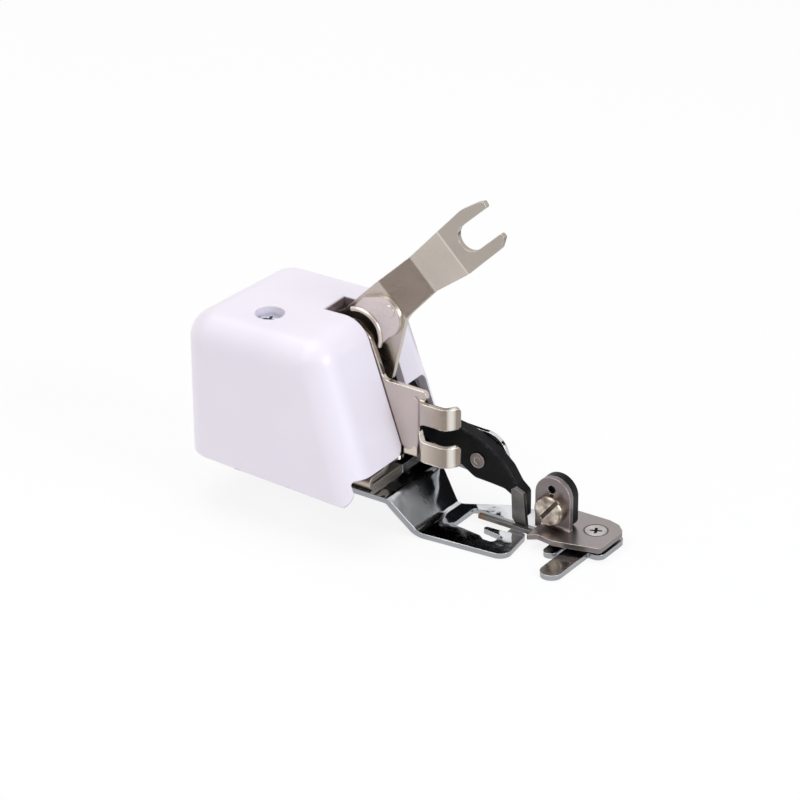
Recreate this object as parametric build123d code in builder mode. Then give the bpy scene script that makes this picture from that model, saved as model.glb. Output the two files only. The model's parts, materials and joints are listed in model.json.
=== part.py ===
from build123d import *

import os
from math import atan2, cos, degrees, hypot, radians, sin

os.makedirs("parts", exist_ok=True)

# Side-cutter presser foot for a low-shank sewing machine, in millimetres
# X points right, Y to the back, Z up; the needle meets the sole's underside at the origin

# Sheet and wall thicknesses
sole_t = 1.0
bracket_t = 1.0
lever_t = 1.0
side_t = 0.8
knife_t = 0.8
guide_t = 1.0
arm_t = 2.4
blade_t = 0.85
cover_t = 1.6

# Clearances
run_gap = 0.05
face_gap = 0.15
hole_gap = 0.05
slot_gap = 0.5

# Stations across the foot, left faces
bracket_x = -3.0
prong_jog = 1.2
lever_x = -0.4
lever_jog = 3.7
fork_set = 0.7
arm_x = 5.7
side_x = arm_x + arm_t + 0.2
ear_x = arm_x + face_gap

# Heights
shelf_z = 7.1
knife_z = sole_t
guide_z = knife_z + knife_t
toe_top = guide_z + guide_t
cover_bottom = 8.9
cover_top = 38.0
wall_top = cover_top - cover_t - 0.8
side_top = wall_top - 1.1

# Sole and shelf lengths
shelf_back = 45.0
ramp_top = 13.4
ramp_foot = 8.4
toe_front = -23.4
sole_bend = 2.0

# Cover, measured at its lower front edge; lean to fall are slopes
cover_left = -19.0
cover_right = 12.9
cover_front = 12.08
cover_back = 50.0
cover_lean = 0.36
cover_rake = 0.043
cover_draft = 0.03
cover_yaw = 0.088
cover_tilt = 0.042
cover_fall = 0.02
cover_r = 5.5
seat_deep = 2.9
front_cut_z = 13.8
lever_slot = (bracket_x - 0.2, 2.9)
lever_slot_end = 30.7

# Pivots, pins and rivets
arm_pivot = (3.83, 11.5)
arm_rivet_r = 1.3
lever_pivot = (42.0, 32.0)
lever_pin_r = 1.5
crank = 11.0
drive_r = 1.0
post_at = (-9.7, 38.1)
post_r = 2.75
cover_screw_r = 1.2
base_rivet_r = 1.0
base_rivet_at = [(-5.5, 21.0), (-5.5, 31.0), (5.0, 21.0), (5.0, 41.0)]
blade_rivet_r = 0.5
blade_rivet_at = [(-5.1, 6.9), (-5.0, 4.8)]
clamp_at = (-11.85, 6.4)
clamp_head_r = 2.9
clamp_head_h = 1.8
clamp_shank_r = 1.4
guide_screw_at = (8.9, toe_front + 4.2)
guide_head_r = 2.0
guide_shank_r = 1.0
tab_rivet_at = (18.3, 40.1)
tab_rivet_r = 1.25

# Presser bar slot in the shank
slot_mid_z = 19.5
slot_high = 3.6
slot_end_y = 8.6

# Return spring under the lever
spring_at = (lever_x + lever_t / 2, 30.0)
spring_r = 1.5
spring_wire = 0.3
spring_turns = 6
spring_foot = shelf_z + bracket_t

# The drive pin lies on the line between the two pivots
reach = hypot(lever_pivot[0] - arm_pivot[0], lever_pivot[1] - arm_pivot[1])
tail_angle = atan2(lever_pivot[1] - arm_pivot[1], lever_pivot[0] - arm_pivot[0])
drive_at = (
    lever_pivot[0] - crank * cos(tail_angle),
    lever_pivot[1] - crank * sin(tail_angle),
)

# The spring's head meets the lever's lower edge under the drive pin
spring_head = drive_at[1] - drive_r - 1.6


def along_tail(r, h):
    """Point of the arm's side view at a distance r along its tail and h above its middle line."""
    y = arm_pivot[0] + r * cos(tail_angle) - h * sin(tail_angle)
    z = arm_pivot[1] + r * sin(tail_angle) + h * cos(tail_angle)
    return (y, z)


def rounded(points, radii):
    """Filled outline of points with chosen corners rounded; radii maps a corner's place to its radius."""
    with BuildSketch() as shape:
        Polygon(*points, align=None)
        for place, radius in radii.items():
            fillet(shape.vertices().sort_by_distance(points[place])[0], radius=radius)
    return shape.sketch


def pin(x0, x1, at, radius):
    """Round bar across the foot from x0 to x1 at a point of the side view."""
    with BuildPart() as bar:
        with BuildSketch(Plane.YZ.offset(x0)):
            with Locations(at):
                Circle(radius)
        extrude(amount=x1 - x0)
    return bar.part


# Outer faces of the cover: a point on each and the way that it looks
top_front = cover_front + cover_lean * (cover_top - cover_bottom)
cover_walls = [
    ((cover_left, 0, cover_bottom), (-1, 0, cover_draft)),
    ((cover_right, 0, cover_bottom), (1, 0, cover_draft)),
    ((0, cover_front, cover_bottom), (0, -1, cover_lean)),
    ((0, cover_back, cover_bottom), (cover_yaw, 1, -cover_rake)),
    ((0, top_front, cover_top), (0, cover_fall, 1)),
]


def cover_block(inset, foot):
    """Cover's solid shape down to foot, drawn in by inset at the walls and the top."""
    with BuildPart() as block:
        Box(200, 200, 2 * cover_top + 20)
        for spot, look in cover_walls:
            drawn_in = Vector(*spot) - Vector(*look).normalized() * inset
            split(bisect_by=Plane(origin=drawn_in, z_dir=look), keep=Keep.BOTTOM)
        soft = block.edges() - block.edges().group_by(Axis.Z)[0]
        fillet(soft, radius=cover_r - inset)
        split(bisect_by=Plane(origin=(0, cover_front, foot), z_dir=(0, cover_tilt, -1)), keep=Keep.BOTTOM)
    return block.part


# Sole: one stamping with shelf, ramp, flat tread, right rail and toe
with BuildPart() as sole_plate:
    with BuildSketch(Plane.YZ.offset(-20)):
        with BuildLine():
            FilletPolyline(
                (shelf_back, shelf_z),
                (ramp_top, shelf_z),
                (ramp_foot, sole_t),
                (toe_front - 1, sole_t),
                radius=sole_bend,
            )
            offset(amount=sole_t, side=Side.LEFT)
        make_face()
    extrude(amount=40)
    with BuildSketch():
        add(
            rounded(
                [
                    (-13.2, shelf_back),
                    (-13.2, 31.0),
                    (-8.75, 28.0),
                    (-8.75, 13.5),
                    (-6.75, 8.6),
                    (-5.3, -9.3),
                    (3.4, -8.0),
                    (4.4, -4.6),
                    (4.4, 5.0),
                    (6.5, 5.0),
                    (6.5, 8.4),
                    (8.2, 13.0),
                    (9.1, 16.0),
                    (9.1, shelf_back),
                ],
                {0: 1.5, 1: 1.0, 2: 1.0, 3: 3.0, 4: 4.0, 5: 2.2, 6: 1.2, 13: 1.0},
            )
        )
        add(
            rounded(
                [
                    (-0.6, 5.0),
                    (-0.95, 1.7),
                    (-1.4, -1.35),
                    (-2.24, -2.5),
                    (-2.24, -4.6),
                    (4.9, -4.6),
                    (4.9, 5.0),
                ],
                {0: 0.6, 2: 0.6, 3: 0.4, 4: 0.8},
            ),
            mode=Mode.SUBTRACT,
        )
        add(rounded([(0.4, -5.0), (1.1, -0.4), (2.0, -0.4), (2.3, -5.0)], {1: 0.4, 2: 0.4}))
        add(
            rounded(
                [
                    (5.5, 8.4),
                    (5.5, 5.0),
                    (6.5, 5.0),
                    (6.5, -9.0),
                    (3.7, -13.3),
                    (3.9, toe_front),
                    (12.2, toe_front),
                    (13.1, toe_front + 3.4),
                    (13.1, -8.0),
                    (11.0, 0.3),
                    (7.0, 7.3),
                    (6.5, 8.4),
                ],
                {2: 0.6, 3: 1.5, 5: 1.5, 6: 1.8, 7: 2.0, 8: 4.0, 9: 4.0},
            )
        )
        with Locations((-0.5, -18.68)):
            SlotCenterToCenter(9.0, 4.1)
        with Locations((2.5, -14.7)):
            SlotCenterToCenter(3.0, 2.6)
        with Locations(guide_screw_at):
            Circle(guide_shank_r, mode=Mode.SUBTRACT)
        with Locations(*base_rivet_at):
            Circle(base_rivet_r, mode=Mode.SUBTRACT)
        with Locations(post_at):
            Circle(post_r - 1.0, mode=Mode.SUBTRACT)
    extrude(amount=shelf_z + 1, mode=Mode.INTERSECT)

# Fixed knife: plate held between toe and guide plate, with a tongue beside the channel
with BuildPart() as fixed_knife:
    with BuildSketch(Plane.XY.offset(knife_z)):
        add(
            rounded(
                [
                    (3.7, 2.4),
                    (3.7, -12.5),
                    (4.6, -14.0),
                    (4.6, toe_front + 1.2),
                    (11.6, toe_front + 1.2),
                    (11.6, -10.4),
                    (4.6, -10.4),
                    (4.6, 2.4),
                ],
                {4: 1.5, 5: 0.8, 3: 0.8},
            )
        )
        with Locations(guide_screw_at):
            Circle(guide_shank_r + hole_gap, mode=Mode.SUBTRACT)
    extrude(amount=knife_t)

# Guide plate: satin plate on the toe with an upright ear
with BuildPart() as guide_plate:
    with BuildSketch(Plane.XY.offset(guide_z)):
        add(
            rounded(
                [
                    (0.5, -9.7),
                    (1.8, -11.4),
                    (1.3, -14.8),
                    (3.5, toe_front),
                    (11.2, toe_front),
                    (12.9, toe_front + 1.8),
                    (13.5, toe_front + 4.1),
                    (13.3, -9.7),
                ],
                {0: 0.3, 1: 1.0, 2: 1.0, 3: 0.6, 4: 1.2, 5: 1.2, 6: 1.5, 7: 1.5},
            )
        )
    extrude(amount=guide_t)
    with BuildSketch(Plane.YZ.offset(ear_x)):
        with BuildLine():
            Line((-15.6, guide_z), (-15.6, 8.8))
            ThreePointArc((-15.6, 8.8), (-11.95, 12.45), (-8.3, 8.8))
            Line((-8.3, 8.8), (-8.3, guide_z))
            Line((-8.3, guide_z), (-15.6, guide_z))
        make_face()
        with Locations((-11.7, 10.1)):
            Circle(0.8, mode=Mode.SUBTRACT)
        with Locations(clamp_at):
            Circle(clamp_shank_r + hole_gap, mode=Mode.SUBTRACT)
    extrude(amount=guide_t)
    with Locations((*guide_screw_at, toe_top)):
        Cone(guide_shank_r, guide_head_r, guide_t, mode=Mode.SUBTRACT,
             align=(Align.CENTER, Align.CENTER, Align.MAX))
    root = guide_plate.edges().filter_by(Axis.Y).filter_by_position(Axis.X, ear_x - 0.01, ear_x + 0.01)
    fillet(root.filter_by_position(Axis.Z, toe_top - 0.01, toe_top + 0.01), radius=0.6)

# Clamp block: black arch behind the ear
with BuildPart() as clamp_block:
    with BuildSketch(Plane.YZ.offset(ear_x + guide_t)):
        with BuildLine():
            Line((-15.6, 4.4), (-15.6, 8.8))
            ThreePointArc((-15.6, 8.8), (-11.95, 12.45), (-8.3, 8.8))
            Line((-8.3, 8.8), (-8.3, toe_top))
            Line((-8.3, toe_top), (-14.0, toe_top))
            RadiusArc((-14.0, toe_top), (-15.6, 4.4), 1.6)
        make_face()
        with Locations(clamp_at):
            Circle(clamp_shank_r, mode=Mode.SUBTRACT)
    extrude(amount=1.75)

# Clamp screw: slotted pan head on the ear's left face
with BuildPart() as clamp_screw:
    add(pin(ear_x - clamp_head_h, ear_x, clamp_at, clamp_head_r))
    fillet(clamp_screw.edges().group_by(Axis.X)[0], radius=0.7)
    add(pin(ear_x, ear_x + guide_t + 1.75, clamp_at, clamp_shank_r))
    with BuildSketch(Plane.YZ.offset(ear_x - clamp_head_h)):
        with Locations(Location((*clamp_at, 0), (0, 0, 129))):
            Rectangle(2.2 * clamp_head_r, 0.75)
    extrude(amount=0.9, mode=Mode.SUBTRACT)

# Guide screw: countersunk head with a cross recess
with BuildPart() as guide_screw:
    with Locations((*guide_screw_at, toe_top)):
        Cone(guide_shank_r, guide_head_r, guide_t, align=(Align.CENTER, Align.CENTER, Align.MAX))
    with Locations((*guide_screw_at, 0.1)):
        Cylinder(guide_shank_r, guide_z - 0.1, align=(Align.CENTER, Align.CENTER, Align.MIN))
    with BuildSketch(Plane.XY.offset(toe_top)):
        with Locations(Location((*guide_screw_at, 0), (0, 0, 25))):
            Rectangle(2.2, 0.5)
            Rectangle(0.5, 2.2)
    extrude(amount=-0.6, mode=Mode.SUBTRACT)

# Knife arm: black rocker with a slotted tail inside the cover
tail_in = reach - crank
with BuildPart() as knife_arm:
    with BuildSketch(Plane.YZ.offset(arm_x)) as arm_side:
        add(
            rounded(
                [
                    along_tail(tail_in + 1.3, 2.8),
                    along_tail(tail_in - 12.0, 2.8),
                    (15.5, 17.8),
                    (8.04, 16.94),
                    (4.3, 16.0),
                    (0.45, 14.14),
                    (-2.55, 11.6),
                    (-4.3, 8.9),
                    (-6.0, 7.5),
                    (-6.0, 2.3),
                    (-3.9, 2.3),
                    (-3.6, 6.3),
                    (-1.75, 7.3),
                    (1.44, 7.56),
                    (4.65, 7.7),
                    (7.24, 9.3),
                    (11.0, 11.3),
                    (18.0, 13.6),
                    along_tail(tail_in - 9.0, -2.8),
                    along_tail(tail_in + 1.3, -2.8),
                ],
                {
                    1: 2.0,
                    2: 4.0,
                    3: 4.0,
                    4: 3.0,
                    5: 4.0,
                    6: 3.0,
                    7: 1.5,
                    8: 1.0,
                    9: 0.5,
                    11: 1.2,
                    12: 2.0,
                    14: 2.0,
                    15: 2.0,
                    18: 3.0,
                },
            )
        )
        with Locations(along_tail(tail_in + 1.4, 0)):
            Circle(drive_r + slot_gap + 1.9)
        with Locations(arm_pivot):
            Circle(arm_rivet_r + run_gap, mode=Mode.SUBTRACT)
        with Locations(Location((*along_tail(tail_in + 1.2, 0), 0), (0, 0, degrees(tail_angle)))):
            SlotCenterToCenter(3.2, 2 * (drive_r + slot_gap), mode=Mode.SUBTRACT)
        with Locations(*blade_rivet_at):
            Circle(blade_rivet_r, mode=Mode.SUBTRACT)
    extrude(amount=arm_t)
    rim = knife_arm.faces().sort_by(Axis.X)[0].outer_wire().edges()
    chamfer(rim, length=0.25)

# Moving blade: flat blade on the arm's left face, ground to an edge along its foot
rivet_bite = 0.65 * blade_t
with BuildPart() as moving_blade:
    with BuildSketch(Plane.YZ.offset(arm_x - blade_t)):
        add(
            rounded(
                [
                    (-3.81, 8.34),
                    (-4.44, 8.74),
                    (-6.36, 7.9),
                    (-7.09, 0.81),
                    (-5.93, 0.55),
                    (-5.17, 1.24),
                    (-4.09, 2.53),
                ],
                {0: 0.2, 2: 0.4, 5: 0.5, 6: 0.5},
            )
        )
    extrude(amount=blade_t)
    for at in blade_rivet_at:
        add(pin(arm_x - rivet_bite, arm_x, at, blade_rivet_r), mode=Mode.SUBTRACT)
    foot = moving_blade.faces().sort_by(Axis.X)[-1].edges().sort_by_distance((arm_x, -6.5, 0.68))[0]
    chamfer(foot, length=0.45, length2=0.7)

# Blade rivets
with BuildPart() as blade_rivets:
    for at in blade_rivet_at:
        add(pin(arm_x - rivet_bite, arm_x + arm_t, at, blade_rivet_r))

# Arm rivet: low dimpled head on the left, shaft through arm and side plate, head on the right
with BuildPart() as arm_rivet:
    add(pin(arm_x - 0.3, arm_x - run_gap, arm_pivot, arm_rivet_r + 0.15))
    add(pin(arm_x - 0.3, arm_x - 0.15, arm_pivot, arm_rivet_r / 2), mode=Mode.SUBTRACT)
    add(pin(arm_x - run_gap, side_x + side_t, arm_pivot, arm_rivet_r))
    add(pin(side_x + side_t, side_x + side_t + 0.6, arm_pivot, arm_rivet_r + 0.7))
    fillet(arm_rivet.edges().group_by(Axis.X)[-1], radius=0.4)

# Side plate: right wall of the frame with a round front and a foot on the shelf
with BuildPart() as side_plate:
    with BuildSketch(Plane.YZ.offset(side_x)):
        add(
            rounded(
                [
                    (arm_pivot[0], 6.9),
                    (11.0, 7.4),
                    (17.7, shelf_z),
                    (44.5, shelf_z),
                    (44.5, side_top),
                    (27.0, side_top),
                    (18.0, 16.6),
                    (arm_pivot[0], 16.1),
                ],
                {4: 3.0, 5: 3.0, 6: 2.0},
            )
        )
        with Locations(arm_pivot):
            Circle(4.65)
            Circle(arm_rivet_r, mode=Mode.SUBTRACT)
        with Locations(lever_pivot):
            Circle(lever_pin_r, mode=Mode.SUBTRACT)
    extrude(amount=side_t)
    with BuildSketch(Plane.XY.offset(shelf_z)):
        with Locations((2.2, 17.7)):
            Rectangle(side_x + side_t - 2.2, 26.8, align=(Align.MIN, Align.MIN))
        with Locations(*base_rivet_at[2:]):
            Circle(base_rivet_r, mode=Mode.SUBTRACT)
    extrude(amount=side_t)
    corner = side_plate.edges().filter_by(Axis.Y).group_by(Axis.Z)[0].sort_by(Axis.X)[-1]
    fillet(corner, radius=0.7)

# Shank bracket: left wall, hooked prongs with the screw slot and a hemmed foot, one folded sheet
with BuildPart() as bracket_foot:
    with BuildSketch(Plane.XZ.offset(-17.7)):
        with BuildLine():
            FilletPolyline(
                (bracket_x, 20.0),
                (bracket_x, 9.7),
                (-8.4, 9.7),
                (-8.4, shelf_z),
                (1.9, shelf_z),
                radius=1.25,
            )
            offset(amount=bracket_t, side=Side.LEFT)
        make_face()
    extrude(amount=-16.4)
with BuildPart() as bracket_prongs:
    with BuildSketch(Plane.XY.offset(13.8)):
        with BuildLine():
            FilletPolyline(
                (bracket_x, 14.0),
                (bracket_x, 10.9),
                (bracket_x - prong_jog, 9.7),
                (bracket_x - prong_jog, 4.4),
                (-1.6, 2.7),
                radius=(1.3, 1.3, 2.4),
            )
            offset(amount=bracket_t, side=Side.LEFT)
        make_face()
    extrude(amount=11.6)
    with BuildSketch(Plane.YZ.offset(-12)):
        with Locations((slot_end_y, slot_mid_z)):
            Circle(slot_high / 2)
            Rectangle(12, slot_high, align=(Align.MAX, Align.CENTER))
    extrude(amount=20, mode=Mode.SUBTRACT)
    tips = bracket_prongs.edges().filter_by(Plane.XY).group_by(Axis.Y)[0]
    fillet(tips, radius=0.7)
with BuildPart() as shank_bracket:
    with BuildSketch(Plane.YZ.offset(bracket_x)):
        add(
            rounded(
                [
                    (44.5, 14.0),
                    (44.5, wall_top),
                    (30.2, wall_top),
                    (27.6, 37.2),
                    (24.0, 37.0),
                    (21.3, 35.0),
                    (18.2, 27.2),
                    (9.2, 27.2),
                    (9.2, 25.4),
                    (11.2, 25.4),
                    (11.2, 16.0),
                    (13.3, 15.2),
                    (15.0, 15.2),
                    (17.7, 12.0),
                ],
                {1: 3.0, 2: 1.5, 3: 1.5, 4: 1.5, 5: 2.0, 6: 1.5, 7: 0.8, 8: 0.6, 11: 1.0, 12: 1.0},
            )
        )
        with Locations((11.2, 25.4)):
            Circle(0.55, mode=Mode.SUBTRACT)
    extrude(amount=bracket_t)
    add(bracket_foot.part)
    add(bracket_prongs.part)
    with BuildSketch(Plane.YZ.offset(bracket_x - 1)):
        with Locations(lever_pivot):
            Circle(lever_pin_r)
    extrude(amount=bracket_t + 2, mode=Mode.SUBTRACT)
    with BuildSketch(Plane.XY.offset(shelf_z)):
        with Locations(*base_rivet_at[:2]):
            Circle(base_rivet_r)
    extrude(amount=bracket_t, mode=Mode.SUBTRACT)

# Base rivets: join both walls' feet to the shelf
with BuildPart() as base_rivets:
    for place, at in enumerate(base_rivet_at):
        grip = sole_t + (bracket_t if place < 2 else side_t)
        with Locations((*at, shelf_z - sole_t)):
            Cylinder(base_rivet_r, grip, align=(Align.CENTER, Align.CENTER, Align.MIN))
        with Locations((*at, shelf_z - sole_t)):
            Cylinder(base_rivet_r + 0.7, 0.5, align=(Align.CENTER, Align.CENTER, Align.MAX))
        with Locations((*at, shelf_z - sole_t + grip)):
            Cylinder(base_rivet_r + 0.5, 0.35, align=(Align.CENTER, Align.CENTER, Align.MIN))

# Cover post: stands on the shelf and takes the cover screw
post_top = 26.0
with BuildPart() as cover_post:
    with Locations((*post_at, shelf_z)):
        Cylinder(post_r, post_top - shelf_z, align=(Align.CENTER, Align.CENTER, Align.MIN))
    with Locations((*post_at, shelf_z - sole_t)):
        Cylinder(post_r - 1.0, sole_t, align=(Align.CENTER, Align.CENTER, Align.MIN))
    with Locations((*post_at, post_top)):
        Cylinder(cover_screw_r, 7.0, align=(Align.CENTER, Align.CENTER, Align.MAX), mode=Mode.SUBTRACT)

# Housing cover: white moulded shell with lever slot, arm window and sunk screw seat
seat_z = cover_top - seat_deep
toe_in = cover_left + cover_t
with BuildPart() as housing_cover:
    add(cover_block(0.0, cover_bottom))
    add(cover_block(cover_t, cover_bottom - 1.0), mode=Mode.SUBTRACT)
    with Locations((*post_at, post_top)):
        Cylinder(post_r + 1.6, cover_top - 1 - post_top, align=(Align.CENTER, Align.CENTER, Align.MIN))
    with Locations((*post_at, seat_z)):
        Cylinder(2.7, 9.0, align=(Align.CENTER, Align.CENTER, Align.MIN), mode=Mode.SUBTRACT)
    with Locations((*post_at, seat_z)):
        Cylinder(cover_screw_r + 0.2, 20.0, align=(Align.CENTER, Align.CENTER, Align.MAX), mode=Mode.SUBTRACT)
    with BuildSketch(Plane.XY):
        Polygon(
            (lever_slot[0], 0),
            (lever_slot[1], 0),
            (lever_slot[1], lever_slot_end),
            (lever_slot[0], lever_slot_end),
            align=None,
        )
    extrude(amount=cover_top + 5, mode=Mode.SUBTRACT)
    window_right = side_x + side_t + 0.1
    with BuildSketch(Plane.XZ.offset(-5.0)):
        add(rounded([(2.8, 0.0), (window_right, 0.0), (window_right, 23.8), (2.8, 23.8)], {2: 1.8}))
    extrude(amount=-19.0, mode=Mode.SUBTRACT)
    with BuildSketch(Plane.XZ.offset(-5.0)):
        add(
            rounded(
                [
                    (toe_in - 1.4, 0.0),
                    (toe_in - 1.4, cover_bottom),
                    (toe_in, cover_bottom + 2.4),
                    (toe_in, front_cut_z),
                    (lever_slot[0], front_cut_z),
                    (lever_slot[0], front_cut_z + 6),
                    (lever_slot[1], front_cut_z + 6),
                    (lever_slot[1], 0.0),
                ],
                {2: 1.5, 3: 0.8, 4: 2.0},
            )
        )
    extrude(amount=-15.0, mode=Mode.SUBTRACT)
    rim = housing_cover.edges().filter_by(Plane.XY).filter_by(GeomType.CIRCLE).group_by(Axis.Z)[-1]
    fillet(rim, radius=0.5)

# Cover screw: cross-head screw on the seat
with BuildPart() as cover_screw:
    with Locations((*post_at, seat_z)):
        Cylinder(2.2, 1.4, align=(Align.CENTER, Align.CENTER, Align.MIN))
    fillet(cover_screw.edges().group_by(Axis.Z)[-1], radius=0.5)
    with Locations((*post_at, seat_z)):
        Cylinder(cover_screw_r, seat_z - post_top + 6.0, align=(Align.CENTER, Align.CENTER, Align.MAX))
    with BuildSketch(Plane.XY.offset(seat_z + 1.4)):
        with Locations(Location((*post_at, 0), (0, 0, 20))):
            Rectangle(2.6, 0.55)
            Rectangle(0.55, 2.6)
    extrude(amount=-0.8, mode=Mode.SUBTRACT)

# Fork lever: web, jog and open fork, one folded sheet
fold_at = Plane(
    origin=(0, 28.7, 23.8),
    x_dir=(0, -cos(radians(46)), sin(radians(46))),
    z_dir=(0, sin(radians(46)), cos(radians(46))),
)
fork_end = (4.4, 56.2)
fork_tips = [(1.9, 63.7), (1.3, 62.7), (-1.8, 58.6)]
with BuildSketch() as lever_outline:
    add(
        rounded(
            [
                (42.0, 35.2),
                (33.0, 35.2),
                (28.8, 36.9),
                (24.9, 41.1),
                (16.7, 49.5),
                (6.6, 60.9),
                (3.3, 63.1),
                (1.9, 63.7),
                (-1.2, 59.0),
                (-2.5, 58.0),
                (-1.9, 55.7),
                (4.7, 49.05),
                (11.6, 43.8),
                (15.15, 39.25),
                (18.25, 26.25),
                (20.5, spring_head),
                (34.5, spring_head),
                (42.0, 28.8),
            ],
            {1: 4.0, 2: 4.0, 5: 2.5, 6: 2.0, 9: 0.5, 10: 1.5, 11: 4.0, 12: 3.0, 13: 4.0, 14: 1.0, 15: 1.0},
        )
    )
    with Locations(Location((*fork_end, 0), (0, 0, 136.3))):
        Rectangle(14, 5.1, align=(Align.MIN, Align.CENTER), mode=Mode.SUBTRACT)
    with Locations(fork_end):
        Circle(2.55, mode=Mode.SUBTRACT)
    for tip in fork_tips:
        fillet(lever_outline.vertices().sort_by_distance(tip)[0], radius=0.35)
with BuildPart() as fork_lever:
    with BuildSketch(fold_at):
        with BuildLine():
            FilletPolyline(
                (-14.0, lever_x),
                (20.2, lever_x),
                (26.5, lever_x + lever_jog),
                (35.0, lever_x + lever_jog),
                (52.0, lever_x + lever_jog + fork_set),
                radius=1.6,
            )
            offset(amount=lever_t, side=Side.LEFT)
        make_face()
    extrude(amount=60, both=True)
    with BuildSketch(Plane.YZ.offset(-10)):
        add(lever_outline.sketch)
        with Locations(lever_pivot):
            Circle(3.2)
        with Locations((spring_at[1], spring_head)):
            Rectangle(2.0, 3.0)
        with Locations(lever_pivot):
            Circle(lever_pin_r + run_gap, mode=Mode.SUBTRACT)
        with Locations(drive_at):
            Circle(drive_r, mode=Mode.SUBTRACT)
        with Locations(tab_rivet_at):
            Circle(tab_rivet_r - 0.3, mode=Mode.SUBTRACT)
    extrude(amount=30, mode=Mode.INTERSECT)

# Lever tab: round-ended plate on the lever's left face, with a rolled bead along its hollow edge
hollow_edge = [(20.3, 32.6), (21.6, 37.6), (26.2, 38.4)]
bead_r = 0.45
with BuildPart() as lever_tab:
    with BuildSketch(Plane.YZ.offset(lever_x - lever_t)):
        with BuildLine():
            Polyline((26.2, 38.4), (23.8, 41.4), (20.6, 42.4))
            ThreePointArc((20.6, 42.4), (16.2, 39.9), (18.2, 34.9))
            Line((18.2, 34.9), hollow_edge[0])
            ThreePointArc(*hollow_edge)
        make_face()
        with Locations(tab_rivet_at):
            Circle(tab_rivet_r - 0.3, mode=Mode.SUBTRACT)
    extrude(amount=lever_t)
    with BuildLine(Plane.YZ.offset(lever_x - lever_t)) as bead:
        ThreePointArc(*hollow_edge)
    with BuildSketch(Plane(bead.line @ 0, z_dir=bead.line % 0)):
        Circle(bead_r)
    sweep(path=bead.line)

# Tab rivet
with BuildPart() as tab_rivet:
    add(pin(lever_x - lever_t, lever_x + lever_t, tab_rivet_at, tab_rivet_r - 0.3))
    add(pin(lever_x - lever_t - 0.25, lever_x - lever_t, tab_rivet_at, tab_rivet_r))
    fillet(tab_rivet.edges().group_by(Axis.X)[0], radius=0.2)

# Drive pin: fixed in the lever, works the arm's slotted tail
with BuildPart() as drive_pin:
    add(pin(lever_x, side_x - face_gap, drive_at, drive_r))

# Lever pin: held in both walls
with BuildPart() as lever_pin:
    add(pin(bracket_x, side_x + side_t, lever_pivot, lever_pin_r))
    add(pin(bracket_x - 0.6, bracket_x, lever_pivot, lever_pin_r + 0.8))

# Spacers that keep the lever between the walls
with BuildPart() as lever_spacer_left:
    add(pin(bracket_x + bracket_t, lever_x - run_gap, lever_pivot, lever_pin_r + 0.9))
    add(pin(bracket_x, lever_x, lever_pivot, lever_pin_r), mode=Mode.SUBTRACT)
with BuildPart() as lever_spacer_right:
    add(pin(lever_x + lever_t + run_gap, side_x, lever_pivot, lever_pin_r + 0.9))
    add(pin(lever_x, side_x + side_t, lever_pivot, lever_pin_r), mode=Mode.SUBTRACT)

# Return spring: stands on the bracket's foot and lifts the lever
spring_run = spring_head - spring_foot - 2 * spring_wire
with BuildPart() as return_spring:
    with BuildLine(Plane.XY.offset(spring_foot + spring_wire).move(Location((*spring_at, 0)))) as coil:
        Helix(pitch=spring_run / spring_turns, height=spring_run, radius=spring_r)
    with BuildSketch(Plane(coil.line @ 0, z_dir=coil.line % 0)):
        Circle(spring_wire)
    sweep(path=coil.line)

named = {
    "sole_plate": sole_plate,
    "fixed_knife": fixed_knife,
    "guide_plate": guide_plate,
    "clamp_block": clamp_block,
    "clamp_screw": clamp_screw,
    "guide_screw": guide_screw,
    "knife_arm": knife_arm,
    "moving_blade": moving_blade,
    "blade_rivets": blade_rivets,
    "arm_rivet": arm_rivet,
    "side_plate": side_plate,
    "shank_bracket": shank_bracket,
    "base_rivets": base_rivets,
    "cover_post": cover_post,
    "housing_cover": housing_cover,
    "cover_screw": cover_screw,
    "fork_lever": fork_lever,
    "lever_tab": lever_tab,
    "tab_rivet": tab_rivet,
    "drive_pin": drive_pin,
    "lever_pin": lever_pin,
    "lever_spacer_left": lever_spacer_left,
    "lever_spacer_right": lever_spacer_right,
    "return_spring": return_spring,
}
for label, piece in named.items():
    piece.part.label = label
    export_step(piece.part, f"parts/{label}.step")
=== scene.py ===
import json
import math

import bmesh
import bpy
from mathutils import Matrix, Vector


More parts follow.
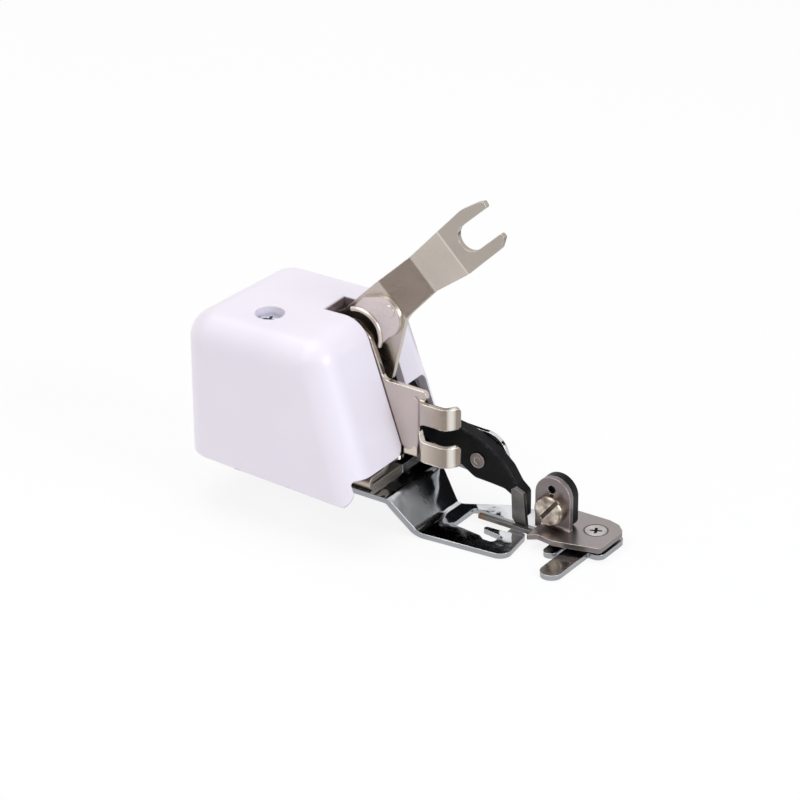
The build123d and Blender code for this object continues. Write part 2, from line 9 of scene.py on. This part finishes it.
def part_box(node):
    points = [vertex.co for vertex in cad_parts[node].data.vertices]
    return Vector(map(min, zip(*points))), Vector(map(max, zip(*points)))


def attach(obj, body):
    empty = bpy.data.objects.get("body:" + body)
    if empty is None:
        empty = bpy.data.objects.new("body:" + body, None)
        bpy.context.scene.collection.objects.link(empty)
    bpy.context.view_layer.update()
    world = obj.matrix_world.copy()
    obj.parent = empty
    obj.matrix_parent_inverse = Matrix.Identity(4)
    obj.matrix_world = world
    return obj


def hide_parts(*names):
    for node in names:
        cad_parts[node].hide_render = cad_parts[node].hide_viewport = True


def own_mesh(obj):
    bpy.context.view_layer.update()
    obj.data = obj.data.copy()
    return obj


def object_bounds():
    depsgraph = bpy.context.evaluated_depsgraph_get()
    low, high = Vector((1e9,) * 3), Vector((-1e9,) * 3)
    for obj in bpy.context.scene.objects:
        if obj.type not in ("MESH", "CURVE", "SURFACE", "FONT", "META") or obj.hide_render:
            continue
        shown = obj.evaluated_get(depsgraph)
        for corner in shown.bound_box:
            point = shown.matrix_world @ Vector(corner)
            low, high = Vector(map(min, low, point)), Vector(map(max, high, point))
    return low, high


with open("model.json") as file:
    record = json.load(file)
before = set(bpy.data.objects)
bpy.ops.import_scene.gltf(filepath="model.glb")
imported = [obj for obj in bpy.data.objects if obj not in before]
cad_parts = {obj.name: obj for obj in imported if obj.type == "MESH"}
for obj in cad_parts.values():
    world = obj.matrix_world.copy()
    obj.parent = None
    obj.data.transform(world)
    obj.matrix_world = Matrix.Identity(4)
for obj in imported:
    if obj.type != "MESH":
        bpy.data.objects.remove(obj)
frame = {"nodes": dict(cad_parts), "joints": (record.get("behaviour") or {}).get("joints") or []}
cad_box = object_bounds()
MM = 0.001
WHITE = (1.0, 1.0, 1.0)

# The lever's slope, seen from the side
LEVER_RISE = math.radians(46)

# Places that the finishes go by, in millimetres; a pair is the start and end of a fade
LEVER_FROM = (28.7, 23.8)  # Y and Z of a point on the lever's lower sheet
FORK_FOLD = 35.0  # from that point along the slope to the fork's fold
FOLD_WIDE = 0.3
SLOT_X = ((-3.5, -3.3), (2.95, 3.15))  # the lever's slot in the cover
SLOT_Y = ((24.5, 27.5), (30.9, 31.2))
SLOT_RIM_Z = (37.6, 38.0)
RAMP_Z = ((1.2, 2.0), (6.4, 7.2))  # the sole's ramp, and its worn left half
RAMP_WORN_X = (-1.5, 3.0)
TOE_Y = (-9.0, -7.0)
SOLE_TOP_Z = (0.8, 0.95)
SHELF_TOP_Z = (8.9, 9.3)
SCREW_RING = ((1.85, 2.0), (2.15, 2.4))  # out from the middle of the guide screw
EAR_Z = (2.6, 3.6)  # the guide plate's ear
PRONG_Y = (4.9, 10.4)  # the bracket's prongs, their bend and the folded foot
PRONG_BEND_Y = ((3.2, 3.6), (3.9, 4.4))
FOOT_Y = (20.0, 24.0)
FOOT_Z = (10.8, 11.4)
HEATED_Y = 0.8  # the fixed knife is browned behind this
NOT_HEATED = 1000.0  # far behind the foot

# Fine settings of nodes: rays of a rounded edge, and a Mix node's sockets for colours
EDGE_RAYS = 6
MIX_FACTOR, MIX_FIRST, MIX_SECOND, MIX_RESULT = 0, 6, 7, 2


class Wire:
    """A shader socket that takes part in Python sums: each operator adds one Math node."""

    def __init__(self, tree, socket):
        self.tree = tree
        self.socket = socket

    def sum(self, operation, first, second):
        node = self.tree.nodes.new("ShaderNodeMath")
        node.operation = operation
        for place, term in enumerate((first, second)):
            if isinstance(term, Wire):
                self.tree.links.new(term.socket, node.inputs[place])
            else:
                node.inputs[place].default_value = term
        return Wire(self.tree, node.outputs[0])

    def __add__(self, other):
        return self.sum("ADD", self, other)

    def __radd__(self, other):
        return self.sum("ADD", other, self)

    def __sub__(self, other):
        return self.sum("SUBTRACT", self, other)

    def __rsub__(self, other):
        return self.sum("SUBTRACT", other, self)

    def __mul__(self, other):
        return self.sum("MULTIPLY", self, other)

    def __rmul__(self, other):
        return self.sum("MULTIPLY", other, self)

    def __pow__(self, other):
        return self.sum("POWER", self, other)

    def above(self, low, high):
        """0 below low and 1 above high, with a straight fade between them."""
        steep = (self - low) * (1.0 / (high - low))
        return steep.sum("MINIMUM", steep.sum("MAXIMUM", steep, 0.0), 1.0)

    def below(self, low, high):
        """1 below low and 0 above high."""
        return 1.0 - self.above(low, high)

    def band(self, rise, fall):
        """1 between two fades and 0 outside them."""
        return self.above(*rise) * self.below(*fall)


class Nodes:
    """A node tree, with one way to add any node."""

    def __init__(self, tree):
        self.tree = tree
        tree.nodes.clear()

    def node(self, kind, settings=None, sockets=None):
        """Any node: its settings are set first, then each socket's value or link."""
        made = self.tree.nodes.new(kind)
        for name, value in (settings or {}).items():
            setattr(made, name, value)
        for name, value in (sockets or {}).items():
            if isinstance(value, Wire):
                self.tree.links.new(value.socket, made.inputs[name])
            else:
                made.inputs[name].default_value = value
        return made

    def out(self, node, name=0):
        return Wire(self.tree, node.outputs[name])

    def seen(self):
        """1 for what the camera, a mirror or glass sees, and 0 for the light that is shed."""
        path = self.node("ShaderNodeLightPath")
        rays = self.out(path, "Is Camera Ray") + self.out(path, "Is Glossy Ray")
        return (rays + self.out(path, "Is Transmission Ray")).above(0.0, 1.0)


class Finish(Nodes):
    """One procedural material, with the textures that the finishes of this foot share."""

    def __init__(self, name, **constants):
        self.material = bpy.data.materials.new(name)
        self.material.use_nodes = True
        super().__init__(self.material.node_tree)
        sockets = {socket.replace("_", " "): value for socket, value in constants.items()}
        self.shader = self.node("ShaderNodeBsdfPrincipled", None, sockets)
        self.surface = self.node("ShaderNodeOutputMaterial")
        self.show(self.shader)

    def show(self, node):
        """Puts what a shader node gives on the surface."""
        self.tree.links.new(node.outputs[0], self.surface.inputs["Surface"])

    def feed(self, **links):
        """Links what varies to the shader's sockets, and gives the finished material."""
        for socket, value in links.items():
            self.tree.links.new(value.socket, self.shader.inputs[socket.replace("_", " ")])
        return self.material

    def place(self, stretch=(1, 1, 1), turn=(0, 0, 0)):
        """Position on the foot, turned and stretched, for the textures."""
        where = self.node("ShaderNodeTexCoord")
        mapped = self.node(
            "ShaderNodeMapping",
            {"vector_type": "POINT"},
            {"Vector": self.out(where, "Object"), "Scale": stretch, "Rotation": turn},
        )
        return self.out(mapped, "Vector")

    def axis(self, name):
        """One coordinate of the place on the foot, in millimetres."""
        where = self.node("ShaderNodeTexCoord")
        split = self.node("ShaderNodeSeparateXYZ", None, {0: self.out(where, "Object")})
        return self.out(split, name) * (1.0 / MM)

    def noise(self, per_mm, detail=3.0, rough=0.55, stretch=(1, 1, 1), turn=(0, 0, 0)):
        """Cloudy noise with about per_mm clumps in a millimetre."""
        made = self.node(
            "ShaderNodeTexNoise",
            None,
            {
                "Vector": self.place(stretch, turn),
                "Scale": per_mm / MM,
                "Detail": detail,
                "Roughness": rough,
            },
        )
        return self.out(made, "Fac")

    def rounded(self, radius_mm):
        """Normal of the surface with its edges rounded."""
        soft = self.node("ShaderNodeBevel", {"samples": EDGE_RAYS}, {"Radius": radius_mm * MM})
        return self.out(soft, "Normal")

    def edges(self, reach_mm):
        """1 on edges, where the rounded normal leaves the true one, and 0 on flats."""
        true = self.node("ShaderNodeNewGeometry")
        dot = self.node(
            "ShaderNodeVectorMath",
            {"operation": "DOT_PRODUCT"},
            {0: self.rounded(reach_mm), 1: self.out(true, "Normal")},
        )
        return (1.0 - self.out(dot, "Value")).above(0.01, 0.2)

    def upright(self):
        """1 on faces that stand upright, such as a plate's sheared sides."""
        facing = self.node("ShaderNodeNewGeometry")
        split = self.node("ShaderNodeSeparateXYZ", None, {0: self.out(facing, "Normal")})
        rise = self.out(split, "Z")
        return (rise * rise).below(0.04, 0.25)

    def relief(self, height, depth_mm, strength, round_mm):
        """Normal with rounded edges and a fine relief on top."""
        bump = self.node(
            "ShaderNodeBump",
            None,
            {
                "Height": height,
                "Distance": depth_mm * MM,
                "Strength": strength,
                "Normal": self.rounded(round_mm),
            },
        )
        return self.out(bump, "Normal")

    def tint(self, factor, first, second):
        """Colour between two, by a factor; the two may be linked or written out."""
        sockets = {MIX_FACTOR: factor}
        for place, tone in ((MIX_FIRST, first), (MIX_SECOND, second)):
            sockets[place] = tone if isinstance(tone, Wire) else (*tone, 1.0)
        return self.out(self.node("ShaderNodeMix", {"data_type": "RGBA"}, sockets), MIX_RESULT)


def dimmed(tone, share):
    return tuple(share * part for part in tone)


def white_moulding():
    """White moulded plastic, faintly lilac, with flow marks, scuffs and painted shade in the slot.
    """
    f = Finish("white_moulding", IOR=1.49, Coat_Roughness=0.3)
    flow = f.noise(0.05, detail=2.0)
    peel = f.noise(0.9, detail=2.0)
    scrape = f.noise(2.2, detail=5.0, rough=0.7, stretch=(1, 0.25, 1), turn=(0.4, 0.2, 0.7))
    scuff = scrape.above(0.62, 0.78)
    # Painted shade: the slot's walls below its rim are darkened to a dark brown
    slot = f.axis("X").band(*SLOT_X) * f.axis("Y").band(*SLOT_Y) * f.axis("Z").below(*SLOT_RIM_Z)
    darkening = slot * (0.75 + f.noise(0.8) * 0.25)
    clean = f.tint(flow.above(0.3, 0.7), (0.83, 0.775, 0.87), (0.87, 0.81, 0.90))
    return f.feed(
        Base_Color=f.tint(darkening, clean, (0.13, 0.07, 0.07)),
        Roughness=0.31 + flow * 0.05 + scuff * 0.14,
        Coat_Weight=0.3 - scuff * 0.2,
        Normal=f.relief(peel, depth_mm=0.02, strength=0.12, round_mm=0.25),
    )


def bright_chrome():
    """Chrome with slow waves and hairlines, painted shade on its upright sides, a ramp and toe
    scuffed rough by cloth, and a painted dark reflection on the toe's top.
    """
    f = Finish("bright_chrome", Metallic=1.0)
    wave = f.noise(0.16, detail=2.0, rough=0.5)
    hair = f.noise(2.6, detail=4.0, rough=0.6, stretch=(1, 0.05, 1)).above(0.5, 0.8)
    edge = f.edges(0.3)
    flat = 1.0 - edge
    height = f.axis("Z")
    ramp = height.band(*RAMP_Z) * f.axis("X").below(*RAMP_WORN_X)
    scuff = ramp * (0.7 + f.noise(0.2, detail=2.0) * 0.3)
    toe = f.axis("Y").below(*TOE_Y)
    # Painted dark reflection on the toe's top, away from its edges
    toe_dark_reflection = toe * height.above(*SOLE_TOP_Z) * flat * (0.35 + f.noise(0.25, detail=2.0) * 0.7)
    # Painted shade on the upright sides below the shelf's top
    side_shade = f.upright() * flat * height.below(*SHELF_TOP_Z)
    plate = f.tint(wave.above(0.35, 0.7), (0.50, 0.51, 0.53), (0.74, 0.75, 0.77))
    plate_and_toe_reflection = f.tint(toe_dark_reflection, plate, (0.13, 0.115, 0.105))
    return f.feed(
        Base_Color=f.tint(side_shade * 0.8, plate_and_toe_reflection, (0.27, 0.28, 0.30)),
        Roughness=0.05 + hair * 0.1 + edge * 0.08 + scuff * 0.3 + toe * 0.1,
        Normal=f.relief(wave + hair * 0.004, depth_mm=0.5, strength=0.35, round_mm=0.18),
    )


def from_axis(f, node, first, second):
    """Distance from the middle of a node, seen along the third axis, in millimetres."""
    low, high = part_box(node)
    total = 0.0
    for name in (first, second):
        place = "XYZ".index(name)
        step = f.axis(name) - (low[place] + high[place]) / 2 / MM
        total = total + step * step
    return total ** 0.5


# Marks on a nickel plate, each a share: darkening (painted shade and reflection, a dark ring and a
# browner foot), painted highlight, and roughening
def unworn(f):
    return 0.0, 0.0, 0.0


def fork_shade_and_fold_highlight(f):
    """Painted shade on the fork beyond its fold, and a painted highlight along the fold."""
    forward = (LEVER_FROM[0] - f.axis("Y")) * math.cos(LEVER_RISE)
    along = forward + (f.axis("Z") - LEVER_FROM[1]) * math.sin(LEVER_RISE)
    fork = along.above(FORK_FOLD, FORK_FOLD + FOLD_WIDE)
    fold = along.above(FORK_FOLD - FOLD_WIDE, FORK_FOLD) * (1.0 - fork)
    # Painted shade on the fork, painted highlight on the fold, no roughening
    return fork * 0.22, fold * 0.6, 0.0


def guide_ring_and_side_shade(f):
    """A dark ring round the guide plate's sunk screw, and painted shade on the ear and on the
    plate's upright sides.
    """
    ring = from_axis(f, "guide_screw", "X", "Y").band(*SCREW_RING)
    ear = f.axis("Z").above(*EAR_Z)
    # The ring is a dark mark; the ear and the upright sides get painted shade
    return ring * 0.85 + ear * 0.42 + f.upright() * (1.0 - ear) * 0.4, 0.0, 0.0


def tab_rim_shade(f):
    """Painted shade along the tab's rim, where the tab lies on the lever."""
    # Painted shade on the rim's edges
    return f.edges(0.35) * 0.6, 0.0, 0.0


def bracket_painted_light_and_foot(f):
    """Painted dark reflection on the prongs, stronger towards their bend; a painted highlight on
    the bend; and a browner, matt foot.
    """
    forward = f.axis("Y")
    heat_brown_and_prong_reflection = forward.below(*PRONG_Y) * (0.85 + f.noise(0.6) * 0.3)
    bend = forward.band(*PRONG_BEND_Y)
    foot = f.axis("Z").below(*FOOT_Z) * forward.below(*FOOT_Y)
    # Painted dark reflection on the prongs and a browner foot; painted highlight on the bend;
    # roughened foot
    return heat_brown_and_prong_reflection * (1.0 - bend) * 0.62 + foot * 0.2, bend * 0.7, foot * 0.3


def satin_nickel(
    name,
    grain,
    turn,
    warm,
    round_mm=0.16,
    polish=1.0,
    grit=0.25,
    plate_marks=unworn,
    dark_tone=(0.06, 0.03, 0.045),
    edge_highlight=0.5,
):
    """Warm nickel plate with the fine grain of the rolled sheet, clouding, and painted highlights
    on its edges.
    """
    f = Finish(name, Metallic=1.0)
    streak = f.noise(4.0, detail=4.0, rough=0.65, stretch=grain, turn=turn)
    cloud = f.noise(0.12)
    fleck = f.noise(7.0, detail=2.0).above(0.66, 0.74)
    dark_share, painted_highlight, rough = plate_marks(f)
    shade = cloud.above(0.3, 0.7) * 0.6 + streak * 0.4
    plate = f.tint(shade, dimmed(warm, 0.82), warm)
    darkened_plate = f.tint(dark_share, plate, dark_tone)
    return f.feed(
        # Painted highlight: the edges and the given highlight share are lightened; the darkening
        # share is partly painted shade and reflection
        Base_Color=f.tint(f.edges(0.25) * edge_highlight + painted_highlight, darkened_plate, (0.80, 0.77, 0.72)),
        Roughness=(0.2 + streak * 0.14 + cloud * 0.06 + fleck * 0.1) * polish + rough,
        Normal=f.relief(streak, depth_mm=0.02, strength=grit, round_mm=round_mm),
    )


# Driver's recess of a screw: 1 inside it
def no_recess(f):
    return 0.0


def clamp_slot(f):
    """The clamp screw's slot: below its face and well within its rim."""
    low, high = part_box("clamp_screw")
    deep = (f.axis("X") - low[0] / MM).above(0.12, 0.3)
    rim = (high[1] - low[1]) / 2 / MM
    return deep * from_axis(f, "clamp_screw", "Y", "Z").below(0.86 * rim, 0.93 * rim)


def cross_recess(node):
    """The same for the cross in the top of an upright screw."""

    def recess(f):
        low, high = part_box(node)
        deep = (high[2] / MM - f.axis("Z")).above(0.1, 0.35)
        rim = (high[0] - low[0]) / 2 / MM
        return deep * from_axis(f, node, "X", "Y").below(0.75 * rim, 0.85 * rim)

    return recess


def turned_steel(name, dark, light, recess=no_recess, rough=0.12, recess_shade=0.9, grime=0.0):
    """Screws, pins and rivets: turned steel with tool marks, random grime patches, and painted
    shade in the driver's recess.
    """
    f = Finish(name, Metallic=1.0)
    mark = f.noise(5.0, rough=0.6, stretch=(1, 1, 0.2))
    cloud = f.noise(0.5, detail=2.0)
    patch = f.noise(0.55, detail=2.0, rough=0.5).above(0.48, 0.64) * grime
    # Painted shade in the recess, over random grime patches
    darkening = patch + recess(f) * recess_shade * (1.0 - patch)
    clean = f.tint(cloud.above(0.3, 0.7), dark, light)
    return f.feed(
        Base_Color=f.tint(darkening, clean, (0.05, 0.035, 0.025)),
        Roughness=rough + mark * 0.14 + f.edges(0.2) * 0.05,
        Normal=f.relief(mark, depth_mm=0.02, strength=0.3, round_mm=0.12),
    )


def ground_knife(name, brown_from):
    """Dark hardened steel, ground across, with a honed edge, heat-tinted brown behind a place."""
    f = Finish(name, Metallic=1.0)
    grind = f.noise(6.0, rough=0.6, stretch=(1, 0.12, 1), turn=(0.5, 0, 0))
    heat = f.noise(0.3, detail=2.0).above(0.5, 0.75)
    ragged = f.axis("Y") + f.noise(1.5, detail=2.0) * 0.6
    rear = ragged.above(brown_from, brown_from + 1.4)
    bare = f.tint(heat, (0.15, 0.145, 0.145), (0.20, 0.175, 0.15))
    heat_brown_and_prong_reflection = f.tint(rear * 0.85, bare, (0.22, 0.11, 0.05))
    return f.feed(
        Base_Color=f.tint(f.edges(0.2) * 0.55, heat_brown_and_prong_reflection, (0.50, 0.49, 0.48)),
        Roughness=0.26 + grind * 0.2,
        Normal=f.relief(grind, depth_mm=0.02, strength=0.3, round_mm=0.1),
    )


def black_oxide():
    """Satin black finish over steel, abraded to grey along the edges and dusty in the flats."""
    f = Finish("black_oxide", IOR=1.4, Specular_IOR_Level=0.14)
    grain = f.noise(9.0)
    cloud = f.noise(0.35, detail=4.0, rough=0.6)
    rub = f.edges(0.28) * f.noise(1.6, detail=4.0, rough=0.7).above(0.42, 0.62)
    base = f.tint(cloud.above(0.35, 0.7), (0.005, 0.005, 0.0055), (0.011, 0.011, 0.012))
    return f.feed(
        Base_Color=f.tint(rub * 0.75, base, (0.25, 0.25, 0.26)),
        Metallic=rub * 0.8,
        Roughness=0.30 + grain * 0.12 + cloud * 0.06,
        Normal=f.relief(grain, depth_mm=0.02, strength=0.25, round_mm=0.2),
    )


def spring_wire():
    """Drawn spring wire, dull with lengthwise die lines."""
    f = Finish("spring_wire", Metallic=1.0)
    line = f.noise(6.0, rough=0.6, stretch=(1, 1, 0.3))
    return f.feed(
        Base_Color=f.tint(line, (0.36, 0.35, 0.34), (0.52, 0.51, 0.49)),
        Roughness=0.28 + line * 0.15,
        Normal=f.relief(line, depth_mm=0.01, strength=0.3, round_mm=0.05),
    )


# Finishes by node
chrome = bright_chrome()
steel = turned_steel("turned_steel", (0.52, 0.48, 0.42), (0.74, 0.69, 0.61))
gold_steel = turned_steel(
    "gold_steel", (0.29, 0.235, 0.195), (0.86, 0.75, 0.64), clamp_slot, rough=0.22, grime=0.55
)
grey_steel = turned_steel(
    "grey_steel", (0.40, 0.38, 0.37), (0.56, 0.54, 0.52), cross_recess("guide_screw")
)
zinc_steel = turned_steel(
    "zinc_steel", (0.62, 0.66, 0.72), (0.80, 0.83, 0.88), cross_recess("cover_screw"), recess_shade=0.4
)
knife = ground_knife("ground_knife", NOT_HEATED)
heated_knife = ground_knife("heated_knife", HEATED_Y)
black = black_oxide()
lever_nickel = satin_nickel(
    "lever_nickel",
    grain=(1, 0.1, 1),
    turn=(LEVER_RISE, 0, 0),
    warm=(0.59, 0.535, 0.47),
    grit=0.05,
    plate_marks=fork_shade_and_fold_highlight,
)
tab_nickel = satin_nickel(
    "tab_nickel",
    grain=(1, 0.1, 1),
    turn=(LEVER_RISE, 0, 0),
    warm=(0.76, 0.69, 0.64),
    grit=0.08,
    plate_marks=tab_rim_shade,
    dark_tone=(0.16, 0.115, 0.075),
    edge_highlight=0.0,
)
bracket_nickel = satin_nickel(
    "bracket_nickel",
    grain=(1, 1, 0.1),
    turn=(0, 0, 0),
    warm=(0.66, 0.59, 0.53),
    round_mm=0.35,
    polish=0.4,
    grit=0.08,
    plate_marks=bracket_painted_light_and_foot,
    dark_tone=(0.09, 0.05, 0.025),
)
guide_nickel = satin_nickel(
    "guide_nickel",
    grain=(1, 0.12, 1),
    turn=(0, 0, 0),
    warm=(0.37, 0.335, 0.325),
    plate_marks=guide_ring_and_side_shade,
)
rivet_nickel = satin_nickel(
    "rivet_nickel", grain=(1, 1, 1), turn=(0, 0, 0), warm=(0.27, 0.22, 0.20)
)
drawn_wire = spring_wire()
finish_of = {
    "housing_cover": white_moulding(),
    "sole_plate": chrome,
    "side_plate": chrome,
    "shank_bracket": bracket_nickel,
    "fork_lever": lever_nickel,
    "lever_tab": tab_nickel,
    "tab_rivet": tab_nickel,
    "guide_plate": guide_nickel,
    "knife_arm": black,
    "clamp_block": black,
    "moving_blade": knife,
    "fixed_knife": heated_knife,
    "blade_rivets": knife,
    "arm_rivet": rivet_nickel,
    "clamp_screw": gold_steel,
    "guide_screw": grey_steel,
    "cover_screw": zinc_steel,
    "return_spring": drawn_wire,
}
for name, piece in frame["nodes"].items():
    piece.data.materials.clear()
    piece.data.materials.append(finish_of.get(name, steel))


def coil_path(turns, steps, closed=0.25):
    """Points on a coil of radius 1 and height 1, with its end turns closed up."""
    rise = [0.0]
    for step in range(turns * steps):
        turn = (step + 0.5) / steps
        from_end = min(turn, turns - turn)
        open_share = min(1.0, max(0.0, from_end - 0.5))
        rise.append(rise[-1] + closed + (1.0 - closed) * open_share)
    for step, height in enumerate(rise):
        angle = 2.0 * math.pi * step / steps
        yield math.cos(angle), math.sin(angle), height / rise[-1]


def pressed_share(low, high):
    """Share of the spring's height that the lever leaves it at the end of its swing."""
    hinge = next(j for j in frame["joints"] if j["name"] == "lever_swing")
    swing = math.radians(max(hinge["range_deg"]))
    hang = high[2] - hinge["pos_m"][2]
    reach = (low[1] - hinge["pos_m"][1] + hang * math.sin(swing)) / math.cos(swing)
    edge = hinge["pos_m"][2] + reach * math.sin(swing) + hang * math.cos(swing)
    return (edge - low[2]) / (high[2] - low[2])


# Return spring: a coil with closed ends in place of the plain one; how far the lever presses it
# down is worked out, but the coil is not squashed
WIRE_R = 0.3 * MM
SPRING_TURNS = 6
TURN_STEPS = 28
spring_low, spring_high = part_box("return_spring")
spring_mid = (Vector(spring_low) + Vector(spring_high)) / 2
coil_r = (spring_high[0] - spring_low[0]) / 2 - WIRE_R
coil_run = spring_high[2] - spring_low[2] - 2 * WIRE_R
coil_foot = Vector((spring_mid[0], spring_mid[1], spring_low[2] + WIRE_R))
coil_curve = bpy.data.curves.new("coil_route", "CURVE")
coil_curve.dimensions = "3D"
coil_curve.bevel_depth = WIRE_R
coil_curve.bevel_resolution = 3
coil_curve.use_fill_caps = True
coil_points = list(coil_path(SPRING_TURNS, TURN_STEPS))
coil_line = coil_curve.splines.new("POLY")
coil_line.points.add(len(coil_points) - 1)
for point, (x, y, z) in zip(coil_line.points, coil_points):
    point.co = (*(coil_foot + Vector((coil_r * x, coil_r * y, coil_run * z))), 1.0)
coil_route = bpy.data.objects.new("coil_route", coil_curve)
bpy.context.collection.objects.link(coil_route)
bpy.context.view_layer.update()
drawn_coil = coil_route.evaluated_get(bpy.context.evaluated_depsgraph_get())
coil_mesh = bpy.data.meshes.new_from_object(drawn_coil)
bpy.data.objects.remove(coil_route)
coil_mesh.shade_smooth()
coil_mesh.materials.clear()
coil_mesh.materials.append(drawn_wire)
coil_spring = bpy.data.objects.new("coil_spring", coil_mesh)
bpy.context.collection.objects.link(coil_spring)
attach(coil_spring, "frame")
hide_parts("return_spring")
pressed_share(spring_low, spring_high) - 0.02
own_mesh(coil_spring)


def flat_sheet(name, finish, half, parts):
    """Level square sheet, half of its side given, split into parts each way."""
    bm = bmesh.new()
    bmesh.ops.create_grid(bm, x_segments=parts, y_segments=parts, size=half)
    mesh = bpy.data.meshes.new(name)
    bm.to_mesh(mesh)
    bm.free()
    mesh.materials.append(finish)
    sheet = bpy.data.objects.new(name, mesh)
    bpy.context.collection.objects.link(sheet)
    return sheet


def pale_floor():
    """Matt pale paper that shows the foot's shadow, and white in the picture and in the metal."""
    f = Finish("pale_floor", Roughness=0.9)
    f.feed(Base_Color=f.tint(f.noise(0.02, detail=2.0), dimmed(WHITE, 0.93), dimmed(WHITE, 0.95)))
    glow = f.node("ShaderNodeEmission", None, {"Color": (*WHITE, 1.0), "Strength": 1.0})
    sockets = {0: f.seen() * 0.84, 1: f.out(f.shader), 2: f.out(glow)}
    f.show(f.node("ShaderNodeMixShader", None, sockets))
    return f.material


# Pale floor a little under the sole
FLOOR_GAP = 0.1 * MM
floor = flat_sheet("floor", pale_floor(), half=4.0, parts=2)
floor.location = (0, 0, cad_box[0][2] - FLOOR_GAP)

# Camera at the photograph's viewing angle, for a square frame
CAMERA_AT = Vector((-655.137, -425.094, 433.659)) * MM
RIGHT = (0.55919, -0.82904, 0.0)
UP = (0.38281, 0.25821, 0.88701)
BACK = (-0.73537, -0.49601, 0.46175)
lens = bpy.data.cameras.new("camera")
lens.lens = 225.0
lens.sensor_width = 36.0
lens.sensor_fit = "HORIZONTAL"
lens.clip_start = 0.01
lens.clip_end = 50.0
camera = bpy.data.objects.new("camera", lens)
camera_turn = Matrix((RIGHT, UP, BACK)).transposed().to_4x4()
camera.matrix_world = Matrix.Translation(CAMERA_AT) @ camera_turn
bpy.context.collection.objects.link(camera)
scene = bpy.context.scene
scene.camera = camera
scene.view_settings.view_transform = "Standard"


def softbox(name, spot, aim, size, power, tone=WHITE):
    """Square studio lamp at spot, turned to aim."""
    data = bpy.data.lights.new(name, "AREA")
    data.shape = "SQUARE"
    data.size = size
    data.energy = power
    data.color = tone
    lamp = bpy.data.objects.new(name, data)
    lamp.location = spot
    lamp.rotation_euler = (Vector(aim) - Vector(spot)).to_track_quat("-Z", "Y").to_euler()
    bpy.context.collection.objects.link(lamp)


def dark_card(name, finish, spot, mirrored, distance, width, height):
    """Card that only reflections see, set out from spot in the direction that is mirrored there."""
    away = Vector(mirrored).normalized()
    card = flat_sheet(name, finish, half=0.5, parts=1)
    card.scale = (width, height, 1.0)
    card.location = Vector(spot) + away * distance
    card.rotation_euler = away.to_track_quat("Z", "Y").to_euler()
    card.visible_camera = False
    card.visible_shadow = False
    card.visible_diffuse = False


def card_finish(name, tone, glow):
    """Matt card, cloudy like painted board, with a glow of its own colour."""
    f = Finish(
        name,
        Roughness=1.0,
        Specular_IOR_Level=0.0,
        Emission_Color=(*tone, 1.0),
        Emission_Strength=glow,
    )
    return f.feed(Base_Color=f.tint(f.noise(0.01, detail=2.0), dimmed(tone, 0.8), tone))


# Studio: the directions that the camera sees mirrored, then cards and lamps, in metres and watts
MIDDLE = (0.0, 0.012, 0.025)
JOG_MIRRORS = (-0.953, -0.193, 0.252)
FLATS_MIRROR = (0.735, 0.496, 0.462)
RAMP_MIRRORS = (0.735, -0.549, 0.395)
SOLE_SPOT = (-0.0062, 0.0015, 0.005)
RAMP_SPOT = (0.0082, 0.0160, 0.0030)
RAIL_SPOT = (0.0059, 0.0068, 0.001)
black_card = card_finish("black_card", (0.012, 0.012, 0.013), 0.0)
brown_card = card_finish("brown_card", (0.10, 0.076, 0.072), 1.7)
dark_card("lens_card", brown_card, MIDDLE, JOG_MIRRORS, 0.55, 0.42, 0.26)
dark_card("sole_card", black_card, SOLE_SPOT, FLATS_MIRROR, 0.045, 0.019, 0.015)
dark_card("ramp_card", black_card, RAMP_SPOT, RAMP_MIRRORS, 0.06, 0.026, 0.026)
dark_card("rail_card", black_card, RAIL_SPOT, FLATS_MIRROR, 0.03, 0.006, 0.006)
softbox("key_softbox", (-0.50, 0.22, 0.62), MIDDLE, 0.45, 0.85)
softbox("top_softbox", (-0.05, 0.20, 0.80), MIDDLE, 0.60, 2.5)
softbox("front_softbox", (-0.05, -0.70, 0.35), MIDDLE, 0.35, 2.3, (0.88, 0.94, 1.0))

# White surroundings, dimmer for the light that they shed
SHED_LIGHT = 0.5
world = bpy.data.worlds.new("studio")
world.use_nodes = True
scene.world = world
sky = Nodes(world.node_tree)
strength = SHED_LIGHT + sky.seen() * (1.0 - SHED_LIGHT)
backdrop = sky.node("ShaderNodeBackground", None, {"Color": (*WHITE, 1.0), "Strength": strength})
sky.node("ShaderNodeOutputWorld", None, {"Surface": sky.out(backdrop)})
